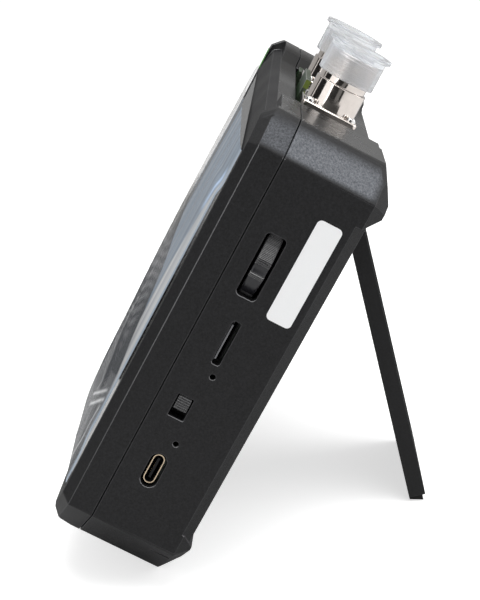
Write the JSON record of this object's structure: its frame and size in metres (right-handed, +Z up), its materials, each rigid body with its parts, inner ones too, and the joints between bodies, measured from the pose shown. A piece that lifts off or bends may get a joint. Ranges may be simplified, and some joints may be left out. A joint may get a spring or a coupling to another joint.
{
  "type": "antenna analyzer",
  "caption": "Hand-held antenna analyzer: bevelled black case with a touch display, capped coaxial ports on top, side controls and a folding stand.",
  "frame": {"origin": "on the surface it stands on, under the middle of the bounding box", "axes": "+X to the object's right-hand side, seen from the front, where the sockets and controls are; +Y from the display to the back; +Z up. The case leans back on its open stand."},
  "size_m": [0.1808, 0.1082, 0.1457],
  "materials": {
    "shell_plastic": "fine textured matt",
    "cover_glass": "polished black-backed glass",
    "gasket_foam": "matt foam",
    "panel": "satin",
    "flex": "satin amber film",
    "film": "thin clear film",
    "green_film": "thin green film",
    "board": "solder mask",
    "tin_sheet": "satin tinned sheet",
    "black_plastic": "satin",
    "battery_wrap": "satin foil wrap",
    "red_wire": "satin",
    "nickel": "bright nickel plating",
    "white_insulator": "satin",
    "gold": "bright gold plating",
    "steel": "satin",
    "clear_cap": "translucent soft plastic",
    "brass_insert": "knurled brass",
    "white_button": "satin",
    "light_body": "frosted",
    "label": "satin paper",
    "foot_rubber": "matt"
  },
  "bodies": {
    "case": {"front_shell": "shell_plastic", "rear_shell": "shell_plastic", "touch_glass": "cover_glass", "port_1_connector": "nickel", "port_2_connector": "nickel", "usb_c_shell": "tin_sheet", "display_gasket": "gasket_foam", "display_panel": "panel", "display_ribbon": "flex", "radio_board": "board", "rf_shield_left": "tin_sheet", "rf_shield_right": "tin_sheet", "side_board": "board", "board_link": "black_plastic", "battery_pack": "battery_wrap", "battery_pad": "gasket_foam", "battery_lead": "red_wire", "port_1_insulator": "white_insulator", "port_2_insulator": "white_insulator", "port_1_contact": "gold", "port_2_contact": "gold", "threaded_inserts": "brass_insert", "case_screws": "steel", "board_screws": "steel", "side_board_screws": "steel", "usb_c_tongue": "black_plastic", "microsd_socket": "tin_sheet", "power_switch_body": "black_plastic", "reset_switch_body": "black_plastic", "charge_light": "light_body", "jog_frame": "black_plastic", "hinge_pin_left": "steel", "hinge_pin_right": "steel", "protective_film": "film", "film_pull_tab": "green_film", "side_label": "label", "port_1_flange_screws": "steel", "port_2_flange_screws": "steel"},
    "stand": {"stand_plate": "shell_plastic", "stand_foot_pad": "foot_rubber"},
    "cap_1": {"port_1_cap": "clear_cap"},
    "cap_2": {"port_2_cap": "clear_cap"},
    "switch_knob": {"power_knob": "black_plastic"},
    "jog_slide": {"jog_yoke": "black_plastic", "jog_axle": "steel"},
    "jog_thumbwheel": {"jog_wheel": "black_plastic"},
    "reset_button": {"reset_plunger": "white_button"}
  },
  "joints": [
    {"name": "stand_hinge", "type": "hinge", "parent": "case", "child": "stand", "pos_m": [0, 0.02685, 0.10143], "axis": [1, 0, 0], "range_deg": [-41.4, 0]},
    {"name": "cap_1_pull", "type": "slide", "parent": "case", "child": "cap_1", "axis": [0, 0.4612, 0.8873], "range_m": [0, 0.025]},
    {"name": "cap_2_pull", "type": "slide", "parent": "case", "child": "cap_2", "axis": [0, 0.4612, 0.8873], "range_m": [0, 0.025]},
    {"name": "power_slide", "type": "slide", "parent": "case", "child": "switch_knob", "axis": [0, -0.4612, -0.8873], "range_m": [0, 0.002]},
    {"name": "jog_press", "type": "slide", "parent": "case", "child": "jog_slide", "axis": [-1, 0, 0], "range_m": [0, 0.0005], "stiffness_N_per_m": 400, "springref_m": -0.001},
    {"name": "jog_turn", "type": "hinge", "parent": "jog_slide", "child": "jog_thumbwheel", "pos_m": [0.0778, 0.00369, 0.09329], "axis": [0, 0.8873, -0.4612], "range_deg": [-10, 10], "stiffness_Nm_per_rad": 0.02},
    {"name": "reset_press", "type": "slide", "parent": "case", "child": "reset_button", "axis": [-1, 0, 0], "range_m": [0, 0.0003], "stiffness_N_per_m": 400, "springref_m": -0.0003}
  ]
}
